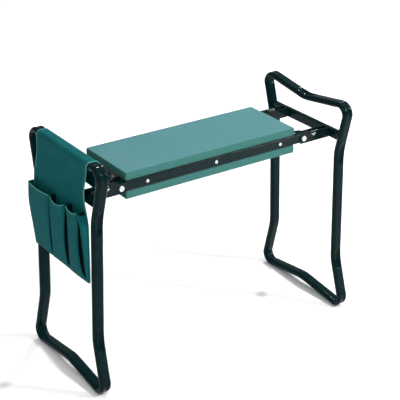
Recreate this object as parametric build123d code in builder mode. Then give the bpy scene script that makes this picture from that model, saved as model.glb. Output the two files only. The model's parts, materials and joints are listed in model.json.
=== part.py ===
"""Folding garden kneeler and seat with a hanging tool bag.

Two bent-tube leg frames hang from a padded steel seat on four pivot bolts. Stood on its frames the
object is a bench with side handles; each frame folds in under the seat. Millimetres, +Z up. The origin
is on the floor, under the middle of the whole object. X runs along the seat, Y from front to back.
"""
import math
import os

from build123d import *

# Leg frames: closed loops of flat-sided oval tube, pinched at the waist, dipped at the handle, raised at
# the foot. The tube's long side runs across the frame's plane.
TUBE_WIDE = 24.5
TUBE_THIN = 13.5
TUBE_WALL = 1.4
BEND_R = 20.0
KINK_R = 90.0
LEAN = 1.7                  # degrees that each frame splays outward towards the floor
CORNER_Y = 138.5            # half-width at the handle's corners, on the tube's centreline
FOOT_CORNER_Y = 141.5
PINCH_Y = 109.5             # half-width at the waist
TOP_W = 75.8                # corner height above the pivots, measured in the frame's plane
HANDLE_DIP = 20.5
UPPER_PINCH_W = -37.3
WAIST_W = -164.3            # butt weld between the handle hoop and the foot hoop
LOWER_PINCH_W = -291.3
FOOT_W = -404.6
FOOT_RISE = 17.5

# Hinges
FRAME_X = 293.5             # from the middle of the seat to a leg frame's plane, at pivot height
ARM_LENGTH = 71.6           # from a pivot to its leg frame's plane
PIVOT_X = FRAME_X - ARM_LENGTH
BAR_HEIGHT = 20.5
BAR_DEPTH = 10.0
BAR_WALL = 1.4
CHEEK = 1.8
ARM_OUTER_Y = 78.7
ARM_WIDTH = 17.6
ARM_TOP = 10.0
ARM_BOTTOM = -11.3
ARM_INBOARD = 9.4
WEB_START = 13.5            # the arm's web starts clear of the rail as the arm swings down
WEB_TOP = -9.8
WINDOW = ((19.8, 6.4), (36.2, 7.0), (30.8, -2.2))   # corners, outboard of and above the pivot
BOLT_R = 3.0
BOLT_HOLE_R = 3.06
BOLT_HEAD_R = 5.6
BOLT_HEAD_H = 3.4
BOLT_TIP = 1.5
SOCKET_R = 2.3
SOCKET_DEPTH = 2.0
NUT_H = 4.0
NUT_FLAT_R = 5.0
HEAD_GAP = 0.2
NUT_Y = ARM_OUTER_Y - ARM_WIDTH - HEAD_GAP

# Seat frame, between the two pads
RAIL_OUTER_Y = 76.6
RAIL_WIDTH = 13.4
RAIL_HEIGHT = 19.0
RAIL_WALL = 1.5
RAIL_INNER_Y = RAIL_OUTER_Y - RAIL_WIDTH
SPACER_R = 4.5
SPACER_STACK = [(SPACER_R, RAIL_INNER_Y + RAIL_WALL, RAIL_OUTER_Y - RAIL_WALL)]
RAIL_OVERHANG = 20.0        # rail length past each pivot; its end rests on the arm's web
PLATE_T = 1.2
PAD_LEFT = -210.0
PAD_RIGHT = 199.5
PAD_HALF_Y = 75.5
PAD_T = 17.6
PAD_EDGE_R = 1.5
RIVET_X = (-161.5, 0.0, 161.5)
RIVET_R = 2.0
RIVET_HEAD_R = 3.4
RIVET_HEAD_H = 1.5
RIVET_GRIP = 12.0
MEMBER_WIDTH = 20.0
MEMBER_HEIGHT = 18.0
END_MEMBER_WIDTH = 12.0
END_MEMBER_INSET = 7.0      # keeps the bar clear of the arms as they swing

# Locks: a sprung cross rod at each seat end that carries two release levers
ROD_R = 2.5
ROD_HOLE_R = 2.56
ROD_HALF = 58.0
ROD_OUT = 5.0               # rod axis past the pad's end
ROD_W = 6.5                 # rod axis above the pivots
LUG_Y = 45.5
LUG_T = 3.0
LUG_R = 4.5
LEVER_Y = 52.0
LEVER_T = 4.0
LEVER_REACH = 29.0
SPRING_Y = 38.5
SPRING_LENGTH = 9.0
SPRING_R = 4.3
CATCH_T = 3.2
CATCH_START = 23.0          # clears the rail's end as the arm swings
CATCH_END = 42.0
CATCH_HEIGHT = 19.0

# Tool bag, hung over the left handle
CLOTH = 2.0
CLOTH_GAP = 0.4
BAG_HALF_Y = 97.5
BAG_TOP_W = 70.0            # tube centreline under the bag's two side hems
BAG_DROP = 241.0
FLAP_BOTTOM_W = 15.0
POCKET_HEIGHT = 142.0
POCKET_WIDTHS = (58.0, 52.0, 82.0)    # from the front of the seat to the back
POCKET_TOP_DEPTH = 14.0
POCKET_FOOT_DEPTH = 7.0
POCKET_WALL = 2.0

SLOPE = math.radians(LEAN)
TUBE_FLAT = TUBE_WIDE - TUBE_THIN           # straight part of the tube's section
POCKET_HALF_Y = sum(POCKET_WIDTHS) / 2


def bend_centre(corner, before, after, radius):
    """Centre of the round bend that joins two straight runs at a corner."""
    to_before = (Vector(*before) - Vector(*corner)).normalized()
    to_after = (Vector(*after) - Vector(*corner)).normalized()
    half_angle = math.acos(to_before.dot(to_after)) / 2
    return Vector(*corner) + (to_before + to_after).normalized() * (radius / math.sin(half_angle))


FOOT_CENTRE = bend_centre((FOOT_CORNER_Y, FOOT_W), (0, FOOT_W + FOOT_RISE), (PINCH_Y, LOWER_PINCH_W), BEND_R)
PIVOT_Z = TUBE_THIN / 2 + TUBE_FLAT / 2 * math.sin(SLOPE) - (FOOT_CENTRE.Y - BEND_R) * math.cos(SLOPE)

# The bag makes the left end longer than the right, so the seat's middle stands off the origin.
RIGHT_REACH = (FRAME_X - (FOOT_CENTRE.Y - BEND_R) * math.sin(SLOPE)
               + TUBE_FLAT / 2 * math.cos(SLOPE) + TUBE_THIN / 2)
BAG_BOTTOM_W = BAG_TOP_W + TUBE_THIN / 2 - BAG_DROP
POCKET_TOP_W = BAG_BOTTOM_W + POCKET_HEIGHT
POCKET_BACK = TUBE_WIDE / 2 + CLOTH_GAP + CLOTH
LEFT_REACH = (FRAME_X - POCKET_TOP_W * math.sin(SLOPE)
              + (POCKET_BACK + POCKET_TOP_DEPTH) * math.cos(SLOPE))
SEAT_X = (LEFT_REACH - RIGHT_REACH) / 2

SIDES = {"left": -1, "right": 1}
FACES = {"front": -1, "back": 1}
PAD_END = {"left": SEAT_X + PAD_LEFT, "right": SEAT_X + PAD_RIGHT}


def leg_plane(side):
    """Plane of a leg frame: local y runs up the frame, local z points outward."""
    normal = (side * math.cos(SLOPE), 0, math.sin(SLOPE))
    return Plane(origin=(SEAT_X + side * FRAME_X, 0, PIVOT_Z), x_dir=(0, side, 0), z_dir=normal)


def wall_plane(y):
    """Upright plane across Y at the given y, with local x along X and local y up."""
    return Plane(origin=(0, y, 0), x_dir=(1, 0, 0), z_dir=(0, -1, 0))


def tube_line(plane, corner_y, corner_w, middle_w, pinch_w):
    """Centreline of half a loop, from one waist weld to the other."""
    points = [(PINCH_Y, WAIST_W), (PINCH_Y, pinch_w), (corner_y, corner_w), (0, middle_w),
              (-corner_y, corner_w), (-PINCH_Y, pinch_w), (-PINCH_Y, WAIST_W)]
    with BuildLine(plane) as line:
        FilletPolyline(*points, radius=[KINK_R, BEND_R, KINK_R, BEND_R, KINK_R])
    return line.wires()[0]


def tube_end(side, line):
    """Plane across a centreline's start, with local x across the leg frame."""
    return Plane(origin=line @ 0, x_dir=leg_plane(side).z_dir, z_dir=line % 0)


def tube_hoop(side, line):
    """Hollow oval tube swept along a centreline."""
    with BuildPart() as hoop:
        with BuildSketch(tube_end(side, line)):
            SlotOverall(TUBE_WIDE, TUBE_THIN)
            SlotOverall(TUBE_WIDE - 2 * TUBE_WALL, TUBE_THIN - 2 * TUBE_WALL, mode=Mode.SUBTRACT)
        sweep(path=line)
    return hoop


def handle_line(side):
    """Centreline of the handle hoop."""
    return tube_line(leg_plane(side), CORNER_Y, TOP_W, TOP_W - HANDLE_DIP, UPPER_PINCH_W)


def foot_line(side):
    """Centreline of the foot hoop."""
    return tube_line(leg_plane(side), FOOT_CORNER_Y, FOOT_W, FOOT_W + FOOT_RISE, LOWER_PINCH_W)


def crossbar(side):
    """Rectangular tube across a leg frame at pivot height, coped to the side tubes."""
    climb = -UPPER_PINCH_W / (TOP_W - UPPER_PINCH_W)
    half_length = PINCH_Y + climb * (CORNER_Y - PINCH_Y)
    line = handle_line(side)
    with BuildPart() as bar:
        with BuildSketch(leg_plane(side).offset(-BAR_DEPTH / 2)):
            Rectangle(2 * half_length, BAR_HEIGHT)
        extrude(amount=BAR_DEPTH)
        fillet(bar.edges().filter_by(Axis.Y), 2.0)
        with BuildSketch(leg_plane(side).offset(BAR_WALL - BAR_DEPTH / 2)):
            Rectangle(2 * half_length, BAR_HEIGHT - 2 * BAR_WALL)
        extrude(amount=BAR_DEPTH - 2 * BAR_WALL, mode=Mode.SUBTRACT)
        with BuildSketch(tube_end(side, line)):
            SlotOverall(TUBE_WIDE, TUBE_THIN)
        sweep(path=line, mode=Mode.SUBTRACT)
    return bar


def arm_plan(side, start, end):
    """Middle and length along X of a stretch measured outboard from a pivot."""
    return SEAT_X + side * (PIVOT_X + (start + end) / 2), end - start


def hinge_arm(side, face):
    """Open-topped channel from a pivot to the crossbar, with a window through its outer cheek."""
    middle_y = face * (ARM_OUTER_Y - ARM_WIDTH / 2)
    arm_x, arm_run = arm_plan(side, -ARM_INBOARD, ARM_LENGTH)
    web_x, web_run = arm_plan(side, WEB_START, ARM_LENGTH)
    arm_z = PIVOT_Z + (ARM_TOP + ARM_BOTTOM) / 2
    web_t = WEB_TOP - ARM_BOTTOM
    pivot = (SEAT_X + side * PIVOT_X, PIVOT_Z)
    outline = [(pivot[0] + side * dx, pivot[1] + dz) for dx, dz in WINDOW]
    with BuildPart() as arm:
        for cheek_y in (ARM_OUTER_Y - CHEEK / 2, ARM_OUTER_Y - ARM_WIDTH + CHEEK / 2):
            with Locations((arm_x, face * cheek_y, arm_z)):
                Box(arm_run, CHEEK, ARM_TOP - ARM_BOTTOM)
        fillet(arm.edges().filter_by(Axis.Y).group_by(Axis.X)[0 if side > 0 else -1], 3.0)
        with Locations((web_x, middle_y, PIVOT_Z + ARM_BOTTOM + web_t / 2)):
            Box(web_run, ARM_WIDTH, web_t)
        with BuildSketch(wall_plane(face * ARM_OUTER_Y)):
            with Locations(pivot):
                Circle(BOLT_HOLE_R)
        extrude(amount=face * ARM_WIDTH, mode=Mode.SUBTRACT)
        with BuildSketch(wall_plane(face * ARM_OUTER_Y)):
            with BuildLine():
                Polyline(*outline, close=True)
            make_face()
        extrude(amount=face * CHEEK, mode=Mode.SUBTRACT)
        split(bisect_by=leg_plane(side).offset(-BAR_DEPTH / 2), keep=Keep.BOTTOM)
    return arm


def lock_catches(side):
    """Zinc striker plates inside the two hinge arms of one side, behind the windows."""
    catch_x, catch_run = arm_plan(side, CATCH_START, CATCH_END)
    with BuildPart() as catches:
        for face in FACES.values():
            with Locations((catch_x, face * (ARM_OUTER_Y - CHEEK - CATCH_T / 2), PIVOT_Z)):
                Box(catch_run, CATCH_T, CATCH_HEIGHT)
        fillet(catches.edges().filter_by(Axis.Y), 2.0)
    return catches


def seat_rail(face):
    """Rectangular tube along one side of the seat, bored for its bolts and rivets."""
    rail_y = face * (RAIL_OUTER_Y - RAIL_WIDTH / 2)
    rail_run = 2 * (PIVOT_X + RAIL_OVERHANG)
    with BuildPart() as rail:
        with Locations((SEAT_X, rail_y, PIVOT_Z)):
            Box(rail_run, RAIL_WIDTH, RAIL_HEIGHT)
        fillet(rail.edges().filter_by(Axis.X), 1.2)
        with Locations((SEAT_X, rail_y, PIVOT_Z)):
            Box(rail_run, RAIL_WIDTH - 2 * RAIL_WALL, RAIL_HEIGHT - 2 * RAIL_WALL, mode=Mode.SUBTRACT)
        with BuildSketch(wall_plane(face * RAIL_OUTER_Y)):
            with Locations(*[(SEAT_X + side * PIVOT_X, PIVOT_Z) for side in SIDES.values()]):
                Circle(BOLT_R)
            with Locations(*[(SEAT_X + x, PIVOT_Z) for x in RIVET_X]):
                Circle(RIVET_R)
        extrude(amount=face * RAIL_WIDTH, mode=Mode.SUBTRACT)
    return rail


def round_stack(spots, steps, bore=0.0):
    """Turned pieces on Y axes, front and back: each step is a radius and two distances from the middle."""
    with BuildPart() as stack:
        for face in FACES.values():
            for radius, near, far in steps:
                with BuildSketch(wall_plane(face * far)):
                    with Locations(*spots):
                        Circle(radius)
                        if bore:
                            Circle(bore, mode=Mode.SUBTRACT)
                extrude(amount=face * (far - near))
    return stack


def dome_heads(stack, radius):
    """Round the outermost rims of a set of heads, front and back."""
    rims = stack.edges().filter_by(GeomType.CIRCLE).group_by(Axis.Y)
    fillet(rims[0] + rims[-1], radius)


def pivot_spots():
    """The four pivots' places in X and Z, one pair for each side."""
    return [(SEAT_X + side * PIVOT_X, PIVOT_Z) for side in SIDES.values()]


def bolts():
    """Four domed pivot bolts with hexagon sockets, through arms, rails and spacers."""
    under_head = ARM_OUTER_Y + HEAD_GAP
    tip = NUT_Y - NUT_H - BOLT_TIP
    with BuildPart() as bolt_set:
        add(round_stack(pivot_spots(), [(BOLT_HEAD_R, under_head, under_head + BOLT_HEAD_H),
                                        (BOLT_R, tip, under_head)]).part)
        dome_heads(bolt_set, 1.4)
        for face in FACES.values():
            with BuildSketch(wall_plane(face * (under_head + BOLT_HEAD_H))):
                with Locations(*pivot_spots()):
                    RegularPolygon(SOCKET_R, 6)
            extrude(amount=face * SOCKET_DEPTH, mode=Mode.SUBTRACT)
    return bolt_set


def nuts():
    """Four hexagon nuts inside the arms."""
    with BuildPart() as nut_set:
        for face in FACES.values():
            with BuildSketch(wall_plane(face * NUT_Y)):
                with Locations(*pivot_spots()):
                    RegularPolygon(NUT_FLAT_R, 6, major_radius=False)
                    Circle(BOLT_R, mode=Mode.SUBTRACT)
            extrude(amount=face * NUT_H)
    return nut_set


def rivets():
    """Six domed rivets that tie the rails to the cross members."""
    spots = [(SEAT_X + x, PIVOT_Z) for x in RIVET_X]
    with BuildPart() as rivet_set:
        add(round_stack(spots, [(RIVET_HEAD_R, RAIL_OUTER_Y, RAIL_OUTER_Y + RIVET_HEAD_H),
                                (RIVET_R, RAIL_INNER_Y - RIVET_GRIP, RAIL_OUTER_Y)]).part)
        dome_heads(rivet_set, 1.2)
    return rivet_set


def seat_pad(bottom):
    """Foam pad with a flat top, its edges just broken."""
    with BuildPart() as pad:
        with BuildSketch(Plane.XY.offset(PIVOT_Z + bottom)):
            with Locations((SEAT_X + (PAD_LEFT + PAD_RIGHT) / 2, 0)):
                Rectangle(PAD_RIGHT - PAD_LEFT, 2 * PAD_HALF_Y)
        extrude(amount=PAD_T)
        fillet(pad.edges(), PAD_EDGE_R)
    return pad


def seat_plate(bottom):
    """Thin steel plate that carries one pad on the rails."""
    with BuildPart() as plate:
        with BuildSketch(Plane.XY.offset(PIVOT_Z + bottom)):
            with Locations((SEAT_X + (PAD_LEFT + PAD_RIGHT) / 2, 0)):
                RectangleRounded(PAD_RIGHT - PAD_LEFT - 2, 2 * PAD_HALF_Y - 2, 3)
        extrude(amount=PLATE_T)
    return plate


def cross_member(x):
    """Moulded bar between the rails, drilled at each end for a rivet."""
    with BuildPart() as member:
        with Locations((SEAT_X + x, 0, PIVOT_Z)):
            Box(MEMBER_WIDTH, 2 * RAIL_INNER_Y, MEMBER_HEIGHT)
        for face in FACES.values():
            with BuildSketch(wall_plane(face * RAIL_INNER_Y)):
                with Locations((SEAT_X + x, PIVOT_Z)):
                    Circle(RIVET_R)
            extrude(amount=face * RIVET_GRIP, mode=Mode.SUBTRACT)
    return member


def rod_axis(name):
    """Place in X and Z of one lock rod."""
    return PAD_END[name] + SIDES[name] * ROD_OUT, PIVOT_Z + ROD_W


def end_member(name):
    """Bar across the seat's end with two lugs that carry the lock rod."""
    side = SIDES[name]
    inner_face = PAD_END[name] - side * (END_MEMBER_INSET + END_MEMBER_WIDTH)
    outer_face = PAD_END[name] - side * END_MEMBER_INSET
    rod_x, rod_z = rod_axis(name)
    lug_bottom = rod_z - LUG_R
    lug_top = PIVOT_Z + MEMBER_HEIGHT / 2
    with BuildPart() as member:
        with Locations(((inner_face + outer_face) / 2, 0, PIVOT_Z)):
            Box(END_MEMBER_WIDTH, 2 * RAIL_INNER_Y, MEMBER_HEIGHT)
        for lug_y in (-LUG_Y, LUG_Y):
            with BuildSketch(wall_plane(lug_y + LUG_T / 2)):
                with Locations(((outer_face + rod_x) / 2, (lug_bottom + lug_top) / 2)):
                    Rectangle(abs(rod_x - outer_face), lug_top - lug_bottom)
                with Locations((rod_x, rod_z)):
                    Circle(LUG_R)
                    Circle(ROD_HOLE_R, mode=Mode.SUBTRACT)
            extrude(amount=LUG_T)
    return member


def lock_rod(name):
    """Steel cross rod that turns in the end member's lugs."""
    with BuildPart() as rod:
        with BuildSketch(wall_plane(ROD_HALF)):
            with Locations(rod_axis(name)):
                Circle(ROD_R)
        extrude(amount=2 * ROD_HALF)
        chamfer(rod.edges(), 0.6)
    return rod


def lock_lever(name, face):
    """Release lever: a hub on the rod, a stout root and a thin finger tip."""
    side = SIDES[name]
    rod_x, rod_z = rod_axis(name)
    root = LEVER_REACH * 0.48
    profile = [(0, -3.0), (root, -1.6), (root + 1.5, -0.6), (LEVER_REACH, -2.0), (LEVER_REACH, 0.2),
               (root + 1.5, 1.8), (root, 2.6), (0, 3.0)]
    with BuildPart() as lever:
        with BuildSketch(wall_plane(face * LEVER_Y + LEVER_T / 2)):
            with BuildLine():
                Polyline(*[(rod_x + side * dx, rod_z + dz) for dx, dz in profile], close=True)
            make_face()
            with Locations((rod_x, rod_z)):
                Circle(LUG_R)
                Circle(ROD_R, mode=Mode.SUBTRACT)
        extrude(amount=LEVER_T)
    return lever


def lock_springs(name):
    """Torsion springs on the rod, closed up to plain sleeves."""
    with BuildPart() as springs:
        for face in FACES.values():
            with BuildSketch(wall_plane(face * SPRING_Y + SPRING_LENGTH / 2)):
                with Locations(rod_axis(name)):
                    Circle(SPRING_R)
                    Circle(ROD_R, mode=Mode.SUBTRACT)
            extrude(amount=SPRING_LENGTH)
    return springs


def bag_cloth():
    """Bag back, fold over the handle and short inner flap, as one bent sheet."""
    inside = TUBE_WIDE / 2 + CLOTH_GAP
    outside = inside + CLOTH
    fold_r = TUBE_THIN / 2 + CLOTH_GAP
    turn = TUBE_FLAT / 2
    side_plane = Plane(origin=leg_plane(-1).origin - Vector(0, BAG_HALF_Y, 0),
                       x_dir=leg_plane(-1).z_dir, z_dir=(0, 1, 0))
    with BuildPart() as cloth:
        with BuildSketch(side_plane):
            with BuildLine():
                back_outside = Line((outside, BAG_BOTTOM_W), (outside, BAG_TOP_W))
                outer_turn = CenterArc((turn, BAG_TOP_W), fold_r + CLOTH, 0, 90)
                outer_top = Line(outer_turn @ 1, (-turn, BAG_TOP_W + fold_r + CLOTH))
                outer_return = CenterArc((-turn, BAG_TOP_W), fold_r + CLOTH, 90, 90)
                flap_outside = Line(outer_return @ 1, (-outside, FLAP_BOTTOM_W))
                flap_hem = Line(flap_outside @ 1, (-inside, FLAP_BOTTOM_W))
                flap_inside = Line(flap_hem @ 1, (-inside, BAG_TOP_W))
                inner_return = CenterArc((-turn, BAG_TOP_W), fold_r, 180, -90)
                inner_top = Line(inner_return @ 1, (turn, BAG_TOP_W + fold_r))
                inner_turn = CenterArc((turn, BAG_TOP_W), fold_r, 90, -90)
                back_inside = Line(inner_turn @ 1, (inside, BAG_BOTTOM_W))
                Line(back_inside @ 1, back_outside @ 0)
            make_face()
        extrude(amount=2 * BAG_HALF_Y)
    return cloth


def bag_pockets():
    """Row of open-topped tool pockets on the lower half of the bag."""
    floor_w = BAG_BOTTOM_W + POCKET_WALL
    back = leg_plane(-1).offset(POCKET_BACK)
    side_plane = Plane(origin=back.origin - Vector(0, POCKET_HALF_Y, 0), x_dir=back.z_dir, z_dir=(0, 1, 0))
    with BuildPart() as pockets:
        with BuildSketch(side_plane):
            with BuildLine():
                Polyline((0, BAG_BOTTOM_W), (POCKET_FOOT_DEPTH, BAG_BOTTOM_W),
                         (POCKET_TOP_DEPTH, POCKET_TOP_W), (0, POCKET_TOP_W), close=True)
            make_face()
        extrude(amount=2 * POCKET_HALF_Y)
        for index, width in enumerate(POCKET_WIDTHS):
            with BuildSketch(side_plane.offset(sum(POCKET_WIDTHS[:index]) + POCKET_WALL)):
                with BuildLine():
                    Polyline((0, floor_w), (POCKET_FOOT_DEPTH - POCKET_WALL, floor_w),
                             (POCKET_TOP_DEPTH - POCKET_WALL, POCKET_TOP_W), (0, POCKET_TOP_W), close=True)
                make_face()
            extrude(amount=width - 2 * POCKET_WALL, mode=Mode.SUBTRACT)
    return pockets


def save(part, label):
    """Label a finished piece and write its STEP file."""
    part.label = label
    export_step(part, f"parts/{label}.step")


os.makedirs("parts", exist_ok=True)

for name, side in SIDES.items():
    save(tube_hoop(side, handle_line(side)).part, f"{name}_handle_hoop")
    save(tube_hoop(side, foot_line(side)).part, f"{name}_foot_hoop")
    save(crossbar(side).part, f"{name}_crossbar")
    save(lock_catches(side).part, f"{name}_lock_catches")
    save(end_member(name).part, f"{name}_end_member")
    save(lock_rod(name).part, f"{name}_lock_rod")
    save(lock_springs(name).part, f"{name}_lock_springs")
    for face_name, face in FACES.items():
        save(hinge_arm(side, face).part, f"{name}_hinge_arm_{face_name}")
        save(lock_lever(name, face).part, f"{name}_lock_lever_{face_name}")

for face_name, face in FACES.items():
    save(seat_rail(face).part, f"seat_rail_{face_name}")

for member_name, member_x in zip(("left", "middle", "right"), RIVET_X):
    save(cross_member(member_x).part, f"cross_member_{member_name}")

save(bolts().part, "pivot_bolts")
save(nuts().part, "pivot_nuts")
save(rivets().part, "rail_rivets")
save(round_stack(pivot_spots(), SPACER_STACK, BOLT_R).part, "pivot_spacers")

plate_bottom = RAIL_HEIGHT / 2
save(seat_plate(plate_bottom).part, "upper_seat_plate")
save(seat_plate(-plate_bottom - PLATE_T).part, "lower_seat_plate")
save(seat_pad(plate_bottom + PLATE_T).part, "upper_pad")
save(seat_pad(-plate_bottom - PLATE_T - PAD_T).part, "lower_pad")
save(bag_cloth().part, "bag_cloth")
save(bag_pockets().part, "bag_pockets")
print(f"pivot height {PIVOT_Z:.2f}, seat middle {SEAT_X:.2f}, reaches {LEFT_REACH:.2f} {RIGHT_REACH:.2f}")
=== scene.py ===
"""Garden kneeler seat: every visible surface of a folding padded bench with a tool bag.

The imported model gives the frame: its nodes keep their places, and the soft or plainly drawn ones are
replaced here by finished pieces. All lengths are in metres, +Z up, X along the seat.
"""
import json
import logging
import math
from dataclasses import dataclass, field
from enum import Enum
from typing import Optional, Sequence, Union

import bmesh
import bpy
import numpy as np
from mathutils import Matrix, Vector


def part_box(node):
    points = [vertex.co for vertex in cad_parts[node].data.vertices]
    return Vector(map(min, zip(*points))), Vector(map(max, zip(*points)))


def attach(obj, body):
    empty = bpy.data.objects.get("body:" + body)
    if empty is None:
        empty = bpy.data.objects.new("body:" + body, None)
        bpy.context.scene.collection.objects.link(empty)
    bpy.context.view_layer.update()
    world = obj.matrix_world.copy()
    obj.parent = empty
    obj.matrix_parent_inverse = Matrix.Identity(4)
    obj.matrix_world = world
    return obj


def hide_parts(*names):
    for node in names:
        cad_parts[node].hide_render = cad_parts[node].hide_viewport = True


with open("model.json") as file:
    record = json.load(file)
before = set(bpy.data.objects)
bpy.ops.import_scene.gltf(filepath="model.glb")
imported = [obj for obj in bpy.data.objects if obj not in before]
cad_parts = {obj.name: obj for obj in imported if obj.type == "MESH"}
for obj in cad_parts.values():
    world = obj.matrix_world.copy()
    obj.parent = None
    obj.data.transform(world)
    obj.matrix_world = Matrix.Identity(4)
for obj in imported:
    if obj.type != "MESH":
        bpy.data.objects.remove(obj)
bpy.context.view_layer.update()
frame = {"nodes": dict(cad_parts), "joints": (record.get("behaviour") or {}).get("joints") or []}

MM = 0.001
LOG = logging.getLogger("kneeler")

Number = Union[float, int, "Value"]


class Side(Enum):
    """The two ends of the bench; the value is the sign of X."""

    LEFT = -1
    RIGHT = 1

    @property
    def word(self) -> str:
        """The side's name as the nodes spell it."""
        return self.name.lower()


# ---------------------------------------------------------------------------------------------------
# Shader building


class Value:
    """A node socket that takes part in Python arithmetic."""

    def __init__(self, shader: "Shader", socket: bpy.types.NodeSocket) -> None:
        """Wraps one output socket of a shader's node."""
        self.shader = shader
        self.socket = socket

    def _math(self, operation: str, *terms: Number) -> "Value":
        """Adds one Math node that works on the given terms."""
        return self.shader.value("ShaderNodeMath", {"operation": operation}, dict(enumerate(terms)))

    def __add__(self, other: Number) -> "Value":
        """self + other."""
        return self._math("ADD", self, other)

    def __sub__(self, other: Number) -> "Value":
        """self - other."""
        return self._math("SUBTRACT", self, other)

    def __mul__(self, other: Number) -> "Value":
        """self * other."""
        return self._math("MULTIPLY", self, other)

    def __truediv__(self, other: Number) -> "Value":
        """self / other."""
        return self._math("DIVIDE", self, other)

    def __rsub__(self, other: Number) -> "Value":
        """other - self."""
        return self._math("SUBTRACT", other, self)

    __radd__ = __add__
    __rmul__ = __mul__

    def sine(self) -> "Value":
        """The sine of this value, in radians."""
        return self._math("SINE", self)

    def ramp(self, low: float, high: float, to_low: float = 0.0, to_high: float = 1.0) -> "Value":
        """A smooth, clamped climb from to_low to to_high as this value goes from low to high."""
        return self.shader.value("ShaderNodeMapRange", {"interpolation_type": "SMOOTHSTEP"},
                                 {0: self, 1: low, 2: high, 3: to_low, 4: to_high})


class Shader:
    """A node material in the making."""

    def __init__(self, name: str) -> None:
        """Starts an empty node material.

        Args:
            name: the material's name.
        """
        self.material = bpy.data.materials.new(name)
        self.material.use_nodes = True
        self.tree = self.material.node_tree
        self.tree.nodes.clear()

    def node(self, kind: str, settings: Optional[dict] = None,
             inputs: Optional[dict] = None) -> bpy.types.Node:
        """Adds a node.

        Args:
            kind: the node's type.
            settings: its own properties, set before any socket.
            inputs: socket name or number to a number, a colour or a Value.

        Returns:
            The new node.
        """
        made = self.tree.nodes.new(kind)
        for key, setting in (settings or {}).items():
            setattr(made, key, setting)
        for key, given in (inputs or {}).items():
            if isinstance(given, Value):
                self.tree.links.new(given.socket, made.inputs[key])
            else:
                made.inputs[key].default_value = given
        return made

    def value(self, kind: str, settings: Optional[dict] = None, inputs: Optional[dict] = None,
              output: Union[int, str] = 0) -> Value:
        """Adds a node and returns one of its outputs."""
        return Value(self, self.node(kind, settings, inputs).outputs[output])

    def place(self) -> Value:
        """The surface point in the object's own space, in metres."""
        return self.value("ShaderNodeTexCoord", output="Object")

    def cloth_place(self) -> Value:
        """The point on the flat cut of a cloth piece, in metres, from its UV map."""
        return self.value("ShaderNodeTexCoord", output="UV")

    def split(self, vector: Value) -> tuple[Value, Value, Value]:
        """The three parts of a vector."""
        parts = self.node("ShaderNodeSeparateXYZ", None, {0: vector})
        return tuple(Value(self, parts.outputs[index]) for index in range(3))

    def noise(self, vector: Value, scale: float, detail: float = 3.0, roughness: float = 0.5) -> Value:
        """Cloudy noise from 0 to 1; scale is in cycles a metre."""
        return self.value("ShaderNodeTexNoise", None,
                          {"Vector": vector, "Scale": scale, "Detail": detail, "Roughness": roughness})

    def mix(self, factor: Number, first: Union[Value, tuple], second: Union[Value, tuple]) -> Value:
        """A colour between two colours."""
        return self.value("ShaderNodeMix", {"data_type": "RGBA"}, {0: factor, 6: first, 7: second}, 2)

    def bump(self, height: Value, strength: float, distance: float) -> Value:
        """A bumped normal from a height."""
        return self.value("ShaderNodeBump", None,
                          {"Height": height, "Strength": strength, "Distance": distance})

    def finish(self, inputs: dict) -> bpy.types.Material:
        """Closes the material with one Principled surface.

        Args:
            inputs: surface settings by socket name, each a constant or a Value.

        Returns:
            The finished node material.
        """
        surface = self.node("ShaderNodeBsdfPrincipled", None, inputs)
        output = self.node("ShaderNodeOutputMaterial")
        self.tree.links.new(surface.outputs[0], output.inputs[0])
        return self.material


def opaque(colour: Sequence[float]) -> tuple[float, float, float, float]:
    """A colour with full alpha."""
    return (colour[0], colour[1], colour[2], 1.0)


@dataclass(frozen=True)
class Enamel:
    """Stove enamel on steel: dark, glossy, with a faint orange peel and a light random dusting."""

    name: str
    colour: tuple[float, float, float] = (0.0006, 0.0104, 0.0122)
    dust: tuple[float, float, float] = (0.0020, 0.0150, 0.0170)
    roughness: float = 0.06
    specular: float = 0.070

    def material(self) -> bpy.types.Material:
        """Builds the node material.

        Returns:
            The finished node material.
        """
        shader = Shader(self.name)
        place = shader.place()
        cloud = shader.noise(place, 22.0, 4.0).ramp(0.42, 0.72)
        speck = shader.noise(place, 900.0, 2.0)
        peel = shader.noise(place, 340.0, 2.0)
        return shader.finish({
            "Base Color": shader.mix(cloud * 0.45 + speck.ramp(0.62, 0.75) * 0.25,
                                     opaque(self.colour), opaque(self.dust)),
            "Roughness": cloud * 0.06 + self.roughness,
            "Specular IOR Level": self.specular,
            "Normal": shader.bump(peel, 0.10, 0.0006)})


@dataclass(frozen=True)
class Plated:
    """Bright plated or oiled steel with fine turning and handling marks."""

    name: str
    colour: tuple[float, float, float] = (0.86, 0.87, 0.86)
    stain: tuple[float, float, float] = (0.60, 0.61, 0.58)
    metallic: float = 0.75
    roughness: float = 0.30

    def material(self) -> bpy.types.Material:
        """Builds the node material.

        Returns:
            The finished node material.
        """
        shader = Shader(self.name)
        place = shader.place()
        cloud = shader.noise(place, 180.0, 4.0).ramp(0.45, 0.75)
        grain = shader.noise(place, 1600.0, 2.0)
        return shader.finish({
            "Base Color": shader.mix(cloud, opaque(self.colour), opaque(self.stain)),
            "Metallic": self.metallic,
            "Roughness": grain * 0.18 + self.roughness,
            "Normal": shader.bump(grain, 0.12, 0.0003)})


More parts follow.
